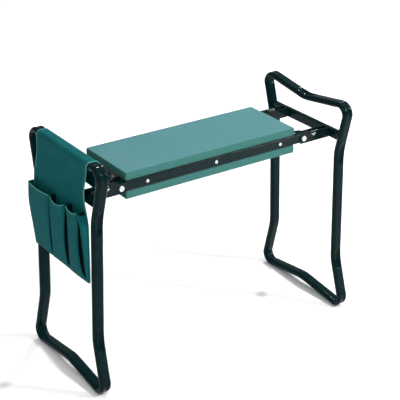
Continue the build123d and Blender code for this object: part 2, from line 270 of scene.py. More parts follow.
@dataclass(frozen=True)
class Foam:
    """Closed-cell foam: an embossed skin on the broad faces or a cut, pored edge. Its colour carries painted
    shade in the low parts of its relief.
    """

    name: str
    colour: tuple[float, float, float]
    dark: tuple[float, float, float]
    embossed: bool = True
    pitch: float = 5.6 * MM

    def material(self) -> bpy.types.Material:
        """Builds the node material.

        Returns:
            The finished node material.
        """
        shader = Shader(self.name)
        place = shader.place()
        cloud = shader.noise(place, 9.0, 3.0)
        pores = shader.noise(place, 1300.0, 3.0, 0.6)
        if self.embossed:
            along, across, _ = shader.split(place)
            turn = 2 * math.pi / self.pitch
            ribs = ((along + across) * turn).sine()
            cross_ribs = ((along - across) * turn).sine()
            relief = (ribs * 0.7 + cross_ribs * 0.45).ramp(-0.8, 0.9)
            depth = 0.0012
        else:
            relief = pores.ramp(0.30, 0.70)
            depth = 0.0005
        # Painted shade: the colour darkens in the low parts of the relief (emboss valleys, pores); cloud and
        # pores add random tone.
        shade = relief * 0.62 + cloud * 0.22 + pores * 0.26
        return shader.finish({
            "Base Color": shader.mix(shade.ramp(0.12, 0.98), opaque(self.dark), opaque(self.colour)),
            "Roughness": 0.86 - relief * 0.18,
            "Specular IOR Level": 0.12,
            "Normal": shader.bump(relief * 0.8 + pores * 0.35, 0.55, depth)})


@dataclass(frozen=True)
class Cloth:
    """Coated woven polyester, plain weave, patterned on its flat cut."""

    name: str
    colour: tuple[float, float, float]
    dark: tuple[float, float, float]
    thread: float = 1.1 * MM
    roughness: float = 0.70

    def material(self) -> bpy.types.Material:
        """Builds the node material.

        Returns:
            The finished node material.
        """
        shader = Shader(self.name)
        cut = shader.cloth_place()
        across, along, _ = shader.split(cut)
        turn = math.pi / self.thread
        weave = (across * turn).sine() * (along * turn).sine()
        cloud = shader.noise(cut, 26.0, 4.0)
        slub = shader.noise(cut, 700.0, 2.0)
        tone = weave * 0.16 + cloud * 0.75 + slub * 0.22
        return shader.finish({
            "Base Color": shader.mix(tone.ramp(0.22, 0.86), opaque(self.dark), opaque(self.colour)),
            "Roughness": cloud * 0.14 + self.roughness,
            "Specular IOR Level": 0.06,
            "Normal": shader.bump(weave * 0.5 + slub * 0.4 + cloud * 1.4, 0.35, 0.0006)})


@dataclass(frozen=True)
class Plastic:
    """Black moulded plastic with a fine spark-eroded grain."""

    name: str
    colour: tuple[float, float, float] = (0.012, 0.015, 0.015)

    def material(self) -> bpy.types.Material:
        """Builds the node material.

        Returns:
            The finished node material.
        """
        shader = Shader(self.name)
        grain = shader.noise(shader.place(), 1500.0, 2.0)
        return shader.finish({
            "Base Color": shader.mix(grain.ramp(0.3, 0.8), opaque(self.colour), opaque((0.03, 0.034, 0.034))),
            "Roughness": grain * 0.2 + 0.42,
            "Normal": shader.bump(grain, 0.25, 0.0003)})


@dataclass(frozen=True)
class Paper:
    """The pale studio floor."""

    name: str
    colour: tuple[float, float, float] = (0.93, 0.93, 0.93)

    def material(self) -> bpy.types.Material:
        """Builds the node material."""
        shader = Shader(self.name)
        return shader.finish({"Base Color": opaque(self.colour), "Roughness": 0.9})


@dataclass
class Palette:
    """Every finish on the object, made once."""

    enamel: bpy.types.Material = field(init=False)
    hinge: bpy.types.Material = field(init=False)
    zinc: bpy.types.Material = field(init=False)
    spring: bpy.types.Material = field(init=False)
    foam_face: bpy.types.Material = field(init=False)
    foam_edge: bpy.types.Material = field(init=False)
    black: bpy.types.Material = field(init=False)
    bag: bpy.types.Material = field(init=False)
    gusset: bpy.types.Material = field(init=False)
    tape: bpy.types.Material = field(init=False)

    def __post_init__(self) -> None:
        """Builds the materials."""
        self.enamel = Enamel("frame_enamel").material()
        self.hinge = Enamel("hinge_enamel", (0.0018, 0.0120, 0.0138), (0.0055, 0.0165, 0.0185), 0.14,
                            0.12).material()
        self.zinc = Plated("zinc_plating").material()
        self.spring = Plated("spring_steel", (0.30, 0.31, 0.32), (0.16, 0.16, 0.16), 1.0, 0.34).material()
        self.foam_face = Foam("foam_skin", (0.108, 0.258, 0.270), (0.037, 0.143, 0.153)).material()
        # The cut edge has its own pored texture; its darker colour is painted shade for the pads' less lit
        # sides.
        self.foam_edge = Foam("foam_cut_edge", (0.056, 0.191, 0.171), (0.034, 0.137, 0.125), False).material()
        self.black = Plastic("moulded_black").material()
        self.bag = Cloth("bag_weave", (0.0044, 0.1110, 0.1180), (0.0022, 0.0720, 0.0770)).material()
        # Pleat colour: painted shade, a near-black copy of the bag cloth for the shaded insides of the
        # pleats.
        self.gusset = Cloth("gusset_lining", (0.0016, 0.0140, 0.0150), (0.001, 0.008, 0.009)).material()
        self.tape = Cloth("binding_tape", (0.080, 0.280, 0.245), (0.045, 0.200, 0.175), 0.8 * MM).material()


# ---------------------------------------------------------------------------------------------------
# Mesh building


def make_object(name: str, points: np.ndarray, faces: np.ndarray, material: bpy.types.Material,
                cut: Optional[np.ndarray] = None) -> bpy.types.Object:
    """Puts arrays into a smooth-shaded mesh object at the origin.

    Args:
        name: the piece's name.
        points: n by 3 corner places.
        faces: m by 4 corner numbers.
        material: the finish.
        cut: n by 2 places on the flat cut, for the UV map.

    Returns:
        The linked object.
    """
    mesh = bpy.data.meshes.new(name)
    mesh.vertices.add(len(points))
    mesh.vertices.foreach_set("co", np.ascontiguousarray(points, dtype=np.float32).ravel())
    mesh.loops.add(faces.size)
    mesh.loops.foreach_set("vertex_index", faces.astype(np.int32).ravel())
    mesh.polygons.add(len(faces))
    mesh.polygons.foreach_set("loop_start", np.arange(0, faces.size, faces.shape[1], dtype=np.int32))
    mesh.update(calc_edges=True)
    mesh.polygons.foreach_set("use_smooth", np.ones(len(faces), dtype=bool))
    if cut is not None:
        layer = mesh.uv_layers.new(name="cut")
        layer.data.foreach_set("uv", cut[faces.ravel()].astype(np.float32).ravel())
    mesh.materials.append(material)
    piece = bpy.data.objects.new(name, mesh)
    bpy.context.scene.collection.objects.link(piece)
    return piece


def grid_faces(rows: int, columns: int, wrap_rows: bool = False, wrap_columns: bool = False) -> np.ndarray:
    """Quads of a grid of points whose row and column ends may join.

    Args:
        rows: points along the first direction.
        columns: points along the second direction.
        wrap_rows: whether the last row joins the first.
        wrap_columns: whether the last column joins the first.

    Returns:
        m by 4 corner numbers.
    """
    row = np.arange(rows if wrap_rows else rows - 1)
    column = np.arange(columns if wrap_columns else columns - 1)
    low, left = np.meshgrid(row, column, indexing="ij")
    high, right = (low + 1) % rows, (left + 1) % columns
    return np.stack([low * columns + left, low * columns + right,
                     high * columns + right, high * columns + left], axis=-1).reshape(-1, 4)


def tidy_mesh(piece: bpy.types.Object, merge: float = 0.0, caps: bool = False) -> None:
    """Merges doubles, closes open ends and turns every face outward.

    Args:
        piece: the object whose mesh is tidied.
        merge: largest gap that is merged, in metres.
        caps: whether to close open loops with a face each.
    """
    work = bmesh.new()
    work.from_mesh(piece.data)
    if merge > 0:
        bmesh.ops.remove_doubles(work, verts=work.verts, dist=merge)
    if caps:
        bmesh.ops.holes_fill(work, edges=[edge for edge in work.edges if edge.is_boundary], sides=0)
    bmesh.ops.recalc_face_normals(work, faces=work.faces)
    work.to_mesh(piece.data)
    work.free()


def unit(vectors: np.ndarray) -> np.ndarray:
    """Vectors of length one along the last axis."""
    return vectors / np.maximum(np.linalg.norm(vectors, axis=-1, keepdims=True), 1e-12)


def smooth_step(value: np.ndarray) -> np.ndarray:
    """3t^2 - 2t^3 of the value held between 0 and 1."""
    held = np.clip(value, 0.0, 1.0)
    return held * held * (3.0 - 2.0 * held)


def carry(path: np.ndarray, profile: np.ndarray, first: np.ndarray, second: np.ndarray) -> np.ndarray:
    """A profile carried along a path: point + profile x times first + profile y times second.

    Args:
        path: n by 3 path points.
        profile: m by 2 (or n by m by 2) section points.
        first: n by 3 direction of the section's x at each path point.
        second: n by 3 direction of the section's y at each path point.

    Returns:
        n by m by 3 surface points.
    """
    section = np.broadcast_to(profile, (len(path),) + profile.shape[-2:])
    return (path[:, None, :] + section[..., 0:1] * first[:, None, :] + section[..., 1:2] * second[:, None, :])


def path_frames(path: np.ndarray, up: np.ndarray) -> tuple[np.ndarray, np.ndarray]:
    """Two directions square to a path: up made square to it, and the side direction.

    Args:
        path: n by 3 path points.
        up: the direction that the first one stays nearest to.

    Returns:
        The two n by 3 unit directions.
    """
    tangent = unit(np.gradient(path, axis=0))
    side = unit(np.cross(tangent, np.broadcast_to(up, path.shape)))
    return unit(np.cross(side, tangent)), side


def ring(count: int, radius: float = 1.0) -> np.ndarray:
    """Points round a circle."""
    turn = np.linspace(0.0, 2 * np.pi, count, endpoint=False)
    return radius * np.stack([np.cos(turn), np.sin(turn)], axis=-1)


def round_rod(name: str, path: np.ndarray, radius: float, material: bpy.types.Material,
              up: Sequence[float] = (0.0, 0.0, 1.0), sides: int = 12) -> bpy.types.Object:
    """A round wire or bead along an open path, with flat ends.

    Args:
        name: the piece's name.
        path: n by 3 points along its middle.
        radius: its radius, in metres.
        material: the finish.
        up: a direction that the path never runs along.
        sides: points round the section.

    Returns:
        The rod.
    """
    first, second = path_frames(path, np.array(up))
    surface = carry(path, ring(sides, radius), first, second)
    piece = make_object(name, surface.reshape(-1, 3), grid_faces(len(path), sides, False, True), material)
    tidy_mesh(piece, caps=True)
    return piece


# ---------------------------------------------------------------------------------------------------
# Leg frames


@dataclass
class LegPlane:
    """The leaning plane of one leg frame: u runs along Y, w up the frame, n outward."""

    side: Side
    arm_length: float = 71.6 * MM
    lean: float = math.radians(1.7)

    def __post_init__(self) -> None:
        """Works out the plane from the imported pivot."""
        joint = next(item for item in frame["joints"] if item["name"] == f"{self.side.word}_fold")
        sign = self.side.value
        self.pivot = np.array(joint["pos_m"])
        self.origin = self.pivot + np.array([sign * self.arm_length, 0.0, 0.0])
        self.across = np.array([0.0, 1.0, 0.0])
        self.upward = np.array([-sign * math.sin(self.lean), 0.0, math.cos(self.lean)])
        self.outward = np.array([sign * math.cos(self.lean), 0.0, math.sin(self.lean)])

    def place(self, u: np.ndarray, w: np.ndarray, n: np.ndarray) -> np.ndarray:
        """Points in the row frame from places in the plane."""
        return (self.origin + np.asarray(u)[..., None] * self.across + np.asarray(w)[..., None] * self.upward
                + np.asarray(n)[..., None] * self.outward)


def rounded_loop(corners: np.ndarray, radii: np.ndarray, step: float) -> np.ndarray:
    """Even points round a closed polygon whose corners are arcs tangent to its sides.

    Args:
        corners: n by 2 polygon corners in order.
        radii: n arc radii.
        step: rough spacing of the points.

    Returns:
        m by 2 points, evenly spaced along the loop.
    """
    runs = []
    for index, corner in enumerate(corners):
        before = unit(corners[index - 1] - corner)
        after = unit(corners[(index + 1) % len(corners)] - corner)
        half = math.acos(float(np.clip(before @ after, -1, 1))) / 2
        centre = corner + unit(before + after) * radii[index] / math.sin(half)
        start = unit(before * radii[index] / math.tan(half) + corner - centre)
        end = unit(after * radii[index] / math.tan(half) + corner - centre)
        turn = np.linspace(0.0, 1.0, 40)[:, None]
        sweep = math.acos(float(np.clip(start @ end, -1, 1)))
        arc = (np.sin((1 - turn) * sweep) * start + np.sin(turn * sweep) * end) / math.sin(sweep)
        runs.append(centre + radii[index] * arc)
    dense = np.concatenate(runs + [runs[0][:1]])
    length = np.concatenate([[0.0], np.cumsum(np.linalg.norm(np.diff(dense, axis=0), axis=1))])
    stations = np.linspace(0.0, length[-1], int(length[-1] / step), endpoint=False)
    return np.stack([np.interp(stations, length, dense[:, axis]) for axis in range(2)], axis=-1)


@dataclass
class LegFrame:
    """One loop of bent tube with its pressed dimples, crossbar welds and hinge arms."""

    side: Side
    palette: Palette
    half_wide: float = 12.25 * MM
    half_thin: float = 6.75 * MM
    bend_radius: float = 20.0 * MM
    kink_radius: float = 90.0 * MM
    corner_u: float = 138.5 * MM
    foot_corner_u: float = 141.5 * MM
    pinch_u: float = 109.5 * MM
    top_w: float = 75.8 * MM
    handle_dip: float = 20.5 * MM
    upper_pinch_w: float = -37.3 * MM
    lower_pinch_w: float = -291.3 * MM
    foot_w: float = -404.6 * MM
    foot_rise: float = 17.5 * MM
    dimple_depth: float = 6.4 * MM
    dimple_half_length: float = 28.0 * MM
    dimple_half_width: float = 10.0 * MM
    crease_depth: float = 1.1 * MM
    station_step: float = 1.7 * MM
    sides_round: int = 76
    bar_height: float = 20.5 * MM
    bar_depth: float = 10.0 * MM

    def __post_init__(self) -> None:
        """Finds the frame's plane."""
        self.plane = LegPlane(self.side)
        self.body = f"{self.side.word}_leg"

    def corner_list(self) -> tuple[np.ndarray, np.ndarray]:
        """The loop's polygon, clockwise from the handle's far corner, and its radii.

        Returns:
            The corners, 10 by 2, and the bend radius at each.
        """
        right = [(self.corner_u, self.top_w), (self.pinch_u, self.upper_pinch_w),
                 (self.pinch_u, self.lower_pinch_w), (self.foot_corner_u, self.foot_w)]
        foot = [(0.0, self.foot_w + self.foot_rise)]
        left = [(-u, w) for u, w in reversed(right)]
        handle = [(0.0, self.top_w - self.handle_dip)]
        bend, kink = self.bend_radius, self.kink_radius
        radii = [bend, kink, kink, bend, kink, bend, kink, kink, bend, kink]
        return np.array(right + foot + left + handle), np.array(radii)

    def oval(self) -> np.ndarray:
        """The tube's section: two flats joined by half rounds, as outward and across-the-plane places.

        Returns:
            Section points, one row for each, evenly spaced round the tube.
        """
        flat = self.half_wide - self.half_thin
        bend = np.linspace(0.0, np.pi, 60)
        first = np.stack([np.cos(bend), np.sin(bend)], axis=-1) * self.half_thin + [0.0, flat]
        dense = np.concatenate([first, -first, first[:1]])
        length = np.concatenate([[0.0], np.cumsum(np.linalg.norm(np.diff(dense, axis=0), axis=1))])
        stations = np.linspace(0.0, length[-1], self.sides_round, endpoint=False)
        return np.stack([np.interp(stations, length, dense[:, axis]) for axis in range(2)], axis=-1)

    def pressed(self, line: np.ndarray, corners: np.ndarray,
                radii: np.ndarray) -> tuple[np.ndarray, np.ndarray]:
        """The tube's outward and across places over the surface, with its dimples and creases.

        At each kink an oval dish depth (1 - rho^2)^0.75 with a small raised rim is pressed into the
        broad outer face; at each corner bend the outer face takes a lengthwise crease
        depth exp(-(across / 2.6 mm)^2), the inside is crushed, and short ripples run out of the bend.

        Args:
            line: m by 2 centreline points.
            corners: the polygon's corners.
            radii: its bend radii, which tell kinks from bends.

        Returns:
            m by k outward places and m by k across places.
        """
        section = self.oval()
        count, step = len(line), np.linalg.norm(line[1] - line[0])
        out = np.tile(section[:, 0], (count, 1))
        across = np.tile(section[:, 1], (count, 1))
        outer = smooth_step(section[:, 0] / (0.6 * self.half_thin))[None, :]
        inner = smooth_step(-section[:, 0] / (0.6 * self.half_thin))[None, :]
        for corner, radius in zip(corners, radii):
            nearest = int(np.argmin(np.linalg.norm(line - corner, axis=1)))
            offset = (np.arange(count) - nearest + count // 2) % count - count // 2
            run = offset[:, None] * step
            if radius == self.kink_radius:
                rho = np.sqrt((run / self.dimple_half_length) ** 2
                              + (section[None, :, 1] / self.dimple_half_width) ** 2)
                dish = np.clip(1.0 - rho ** 2, 0.0, 1.0) ** 0.75
                rim = np.exp(-((rho - 1.05) / 0.07) ** 2)
                out -= outer * (self.dimple_depth * dish - 0.45 * MM * rim)
            else:
                spread = smooth_step(1.4 - np.abs(run) / (20.0 * MM))
                crease = np.exp(-(section[None, :, 1] / (2.6 * MM)) ** 2)
                fade = np.exp(-((np.abs(run) - 21.0 * MM) / (8.0 * MM)) ** 2)
                ripple = np.cos(2 * np.pi * run / (6.0 * MM)) * fade
                out -= outer * (self.crease_depth * crease * spread + 0.25 * MM * ripple)
                fold = np.sin(2 * np.pi * run / (8.0 * MM) + section[None, :, 1] / (4.0 * MM))
                out += inner * (1.5 * spread + 0.7 * spread * fold) * MM
                across *= 1.0 + 0.05 * spread
        return out, across

    def loop(self) -> bpy.types.Object:
        """The bent tube: centreline + pressed outward place along outside + across place along the normal.

        Returns:
            The tube, which stands for both hoops of its side.
        """
        corners, radii = self.corner_list()
        line = rounded_loop(corners, radii, self.station_step)
        tangent = unit(np.roll(line, -1, axis=0) - np.roll(line, 1, axis=0))
        outside = np.stack([-tangent[:, 1], tangent[:, 0]], axis=-1)
        if np.sum(outside * (line - line.mean(axis=0))) < 0:
            outside = -outside
        out, across = self.pressed(line, corners, radii)
        place = line[:, None, :] + out[..., None] * outside[:, None, :]
        points = self.plane.place(place[..., 0], place[..., 1], across)
        piece = make_object(f"{self.side.word}_leg_loop", points.reshape(-1, 3),
                            grid_faces(len(line), out.shape[1], True, True), self.palette.enamel)
        tidy_mesh(piece)
        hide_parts(f"{self.side.word}_handle_hoop", f"{self.side.word}_foot_hoop")
        return piece

    def weld_bead(self, name: str, centre: tuple[float, float, float], half: tuple[float, float],
                  flat: str) -> bpy.types.Object:
        """A rippled weld bead round a rectangular bar end.

        Args:
            name: the piece's name.
            centre: u, w and n of the bead's middle.
            half: half-sizes of the rectangle that it runs round.
            flat: "u" for a bead round the crossbar, "n" for one round an arm.

        Returns:
            The bead, a closed ring.
        """
        turn = np.linspace(0.0, 2 * np.pi, 96, endpoint=False)
        squared = np.stack([np.sign(np.cos(turn)) * np.abs(np.cos(turn)) ** 0.35,
                            np.sign(np.sin(turn)) * np.abs(np.sin(turn)) ** 0.35], axis=-1)
        walk = squared * np.array(half)
        bulge = 1.5 * MM + 0.25 * MM * np.cos(24 * turn)
        section = ring(10)
        outward = unit(walk)
        spread = walk[:, None, :] + bulge[:, None, None] * section[None, :, 0:1] * outward[:, None, :]
        depth = bulge[:, None] * section[None, :, 1]
        u, w, n = centre
        if flat == "u":
            points = self.plane.place(u + depth, w + spread[..., 0], n + spread[..., 1])
        else:
            points = self.plane.place(u + spread[..., 0], w + spread[..., 1], n + depth)
        piece = make_object(name, points.reshape(-1, 3), grid_faces(96, 10, True, True), self.palette.hinge)
        tidy_mesh(piece)
        return piece

    def build(self) -> list[bpy.types.Object]:
        """Builds the frame's pieces and dresses its carried-over nodes.

        Returns:
            The tube and its four weld beads.
        """
        word = self.side.word
        pieces = [self.loop()]
        climb = -self.upper_pinch_w / (self.top_w - self.upper_pinch_w)
        bar_end = self.pinch_u + climb * (self.corner_u - self.pinch_u) - self.half_thin
        for label, sign in (("front", -1), ("back", 1)):
            pieces.append(self.weld_bead(f"{word}_crossbar_weld_{label}", (sign * bar_end, 0.0, 0.0),
                                         (self.bar_height / 2, self.bar_depth / 2), "u"))
            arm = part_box(f"{word}_hinge_arm_{label}")
            middle = (arm[0][1] + arm[1][1]) / 2
            height = (arm[0][2] + arm[1][2]) / 2 - self.plane.pivot[2]
            half = ((arm[1][1] - arm[0][1]) / 2, (arm[1][2] - arm[0][2]) / 2 - 0.4 * MM)
            pieces.append(self.weld_bead(f"{word}_arm_weld_{label}", (middle, height, -self.bar_depth / 2),
                                         half, "n"))
        for piece in pieces:
            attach(piece, self.body)
        dress(self.palette.enamel, f"{word}_crossbar")
        dress(self.palette.hinge, f"{word}_hinge_arm_front", f"{word}_hinge_arm_back")
        dress(self.palette.zinc, f"{word}_lock_catches")
        return pieces


def dress(material: bpy.types.Material, *nodes: str) -> None:
    """Gives carried-over nodes a finish."""
    for node in nodes:
        slots = frame["nodes"][node].data.materials
        slots.clear()
        slots.append(material)


# ---------------------------------------------------------------------------------------------------
# Seat


@dataclass
class Seat:
    """Two foam pads on a black steel frame with its fasteners."""

    palette: Palette
    edge_radius: float = 1.6 * MM
    crown: float = 0.5 * MM
    side_bulge: float = 0.35 * MM
    face_rings: int = 26

    def pad(self, node: str) -> bpy.types.Object:
        """One foam pad.

        A profile of t (0 on the middle line, 1 at the rim) is carried round a rounded rectangle:
        the face keeps the rectangle's shape as it shrinks to the middle line, the rim is a quarter
        round, and the side bows out by a sine.

        Args:
            node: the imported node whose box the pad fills.

        Returns:
            The pad.
        """
        low, high = (np.array(corner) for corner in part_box(node))
        middle, half = (low + high) / 2, (high - low) / 2
        reach = half[:2] - self.side_bulge
        shrink = np.linspace(1.0, 0.0, self.face_rings) ** 0.8
        face_in = shrink * (reach[1] - self.edge_radius)
        face_z = half[2] - self.crown * (1 - shrink) ** 4
        bend = np.linspace(0.0, np.pi / 2, 6)[1:]
        rim_in = self.edge_radius * (1 - np.sin(bend))
        rim_z = half[2] - self.crown - self.edge_radius * (1 - np.cos(bend))
        wall = np.linspace(0.0, 1.0, 9)[1:-1]
        bottom_of_rim = rim_z[-1]
        wall_z = bottom_of_rim * (1 - 2 * wall)
        wall_in = -self.side_bulge * np.sin(np.pi * wall)
        inset = np.concatenate([face_in + self.edge_radius, rim_in, wall_in, rim_in[::-1],
                                (face_in + self.edge_radius)[::-1]])
        height = np.concatenate([face_z, rim_z, wall_z, -rim_z[::-1], -face_z[::-1]])
        points = self.rectangle_rings(reach, inset, height) + middle
        faces = grid_faces(len(inset), points.shape[1], False, True)
        piece = make_object(node + "_foam", points.reshape(-1, 3), faces, self.palette.foam_face)
        # The pad's sides take the cut-edge material, whose darker colour is partly painted shade.
        piece.data.materials.append(self.palette.foam_edge)
        row = np.repeat(np.arange(len(inset) - 1), points.shape[1])
        rows_of_side = (row >= len(face_in) + 1) & (row < len(inset) - len(face_in) - 2)
        piece.data.polygons.foreach_set("material_index", rows_of_side.astype(np.int32))
        tidy_mesh(piece, merge=1e-6)
        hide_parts(node)
        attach(piece, "seat")
        return piece

    @staticmethod
    def rectangle_rings(reach: np.ndarray, inset: np.ndarray, height: np.ndarray) -> np.ndarray:
        """Rings of a rectangle with small round corners, each drawn in by its inset.

        Args:
            reach: half-lengths along X and Y of the widest ring.
            inset: how far each ring is drawn in.
            height: each ring's z.

        Returns:
            rings by points by 3 places about the middle.
        """
        corner = 2.0 * MM
        spans = (90, 34)
        half = reach[None, :] - inset[:, None]
        round_r = np.clip(np.minimum(corner, half.min(axis=1)), 0.0, None)
        turn = np.linspace(0.0, np.pi / 2, 6)
        quarter = []
        for index, (sign_x, sign_y) in enumerate(((1, 1), (-1, 1), (-1, -1), (1, -1))):
            angle = turn + index * np.pi / 2
            centre = np.stack([sign_x * (half[:, 0] - round_r), sign_y * (half[:, 1] - round_r)], axis=-1)
            arc = np.stack([np.cos(angle), np.sin(angle)], axis=-1)
            quarter.append(centre[:, None, :] + round_r[:, None, None] * arc[None])
        runs = []
        for index in range(4):
            start, end = quarter[index][:, -1], quarter[(index + 1) % 4][:, 0]
            share = np.linspace(0.0, 1.0, spans[index % 2] + 1)[1:-1]
            runs.append(quarter[index])
            runs.append(start[:, None, :] + share[None, :, None] * (end - start)[:, None, :])
        flat = np.concatenate(runs, axis=1)
        level = np.broadcast_to(height[:, None, None], flat.shape[:2] + (1,))
        return np.concatenate([flat, level], axis=-1)

    def build(self) -> list[bpy.types.Object]:
        """Builds both pads and dresses the seat's carried-over nodes.

        Returns:
            The seat's new pieces.
        """
        pieces = [self.pad("upper_pad"), self.pad("lower_pad")]
        dress(self.palette.hinge, "seat_rail_front", "seat_rail_back")
        dress(self.palette.black, "upper_seat_plate", "lower_seat_plate", "cross_member_left",
              "cross_member_middle", "cross_member_right", "left_end_member", "right_end_member")
        dress(self.palette.zinc, "pivot_bolts", "rail_rivets", "pivot_nuts")
        dress(self.palette.spring, "pivot_spacers")
        return pieces


# ---------------------------------------------------------------------------------------------------
# Locks


@dataclass
class Lock:
    """One end's lock: a cross rod with two levers and two torsion springs."""

    side: Side
    palette: Palette
    wire: float = 0.75 * MM
    coil: float = 3.45 * MM
    turns: float = 6.5
    spring_y: float = 38.5 * MM
    spring_length: float = 9.0 * MM
    tail: float = 11.0 * MM

    def spring(self, label: str, sign: int) -> bpy.types.Object:
        """A torsion spring: a helix of wire round the rod whose two ends run off as straight tails.

        Args:
            label: which end of the rod it is on.
            sign: -1 or 1, the side of the middle.

        Returns:
            The spring.
        """
        joint = next(item for item in frame["joints"] if item["name"] == f"{self.side.word}_lock_turn")
        axis = np.array(joint["pos_m"])
        angle = np.linspace(0.0, 2 * np.pi * self.turns, 260)
        along = (angle / angle[-1] - 0.5) * (self.spring_length - 2 * self.wire)
        coil = np.stack([self.coil * np.cos(angle), along, self.coil * np.sin(angle)], axis=-1)
        start_way = unit(coil[0] - coil[1])
        end_way = unit(coil[-1] - coil[-2])
        run = np.linspace(1.0, 0.0, 8)[:-1, None] * self.tail
        path = np.concatenate([coil[0] + run * start_way, coil, (coil[-1] + run * end_way)[::-1]])
        path = path + axis + np.array([0.0, sign * self.spring_y, 0.0])
        piece = round_rod(f"{self.side.word}_lock_spring_{label}", path, self.wire, self.palette.spring,
                          (0.0, 1.0, 0.0), 8)
        return piece

    def build(self) -> list[bpy.types.Object]:
        """Builds the springs and dresses the rod and levers.

        Returns:
            The lock's new pieces.
        """
        word = self.side.word
        pieces = [self.spring("front", -1), self.spring("back", 1)]
        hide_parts(f"{word}_lock_springs")
        for piece in pieces:
            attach(piece, f"{word}_lock")
        dress(self.palette.hinge, f"{word}_lock_rod", f"{word}_lock_lever_front", f"{word}_lock_lever_back")
        return pieces


# ---------------------------------------------------------------------------------------------------
# Tool bag


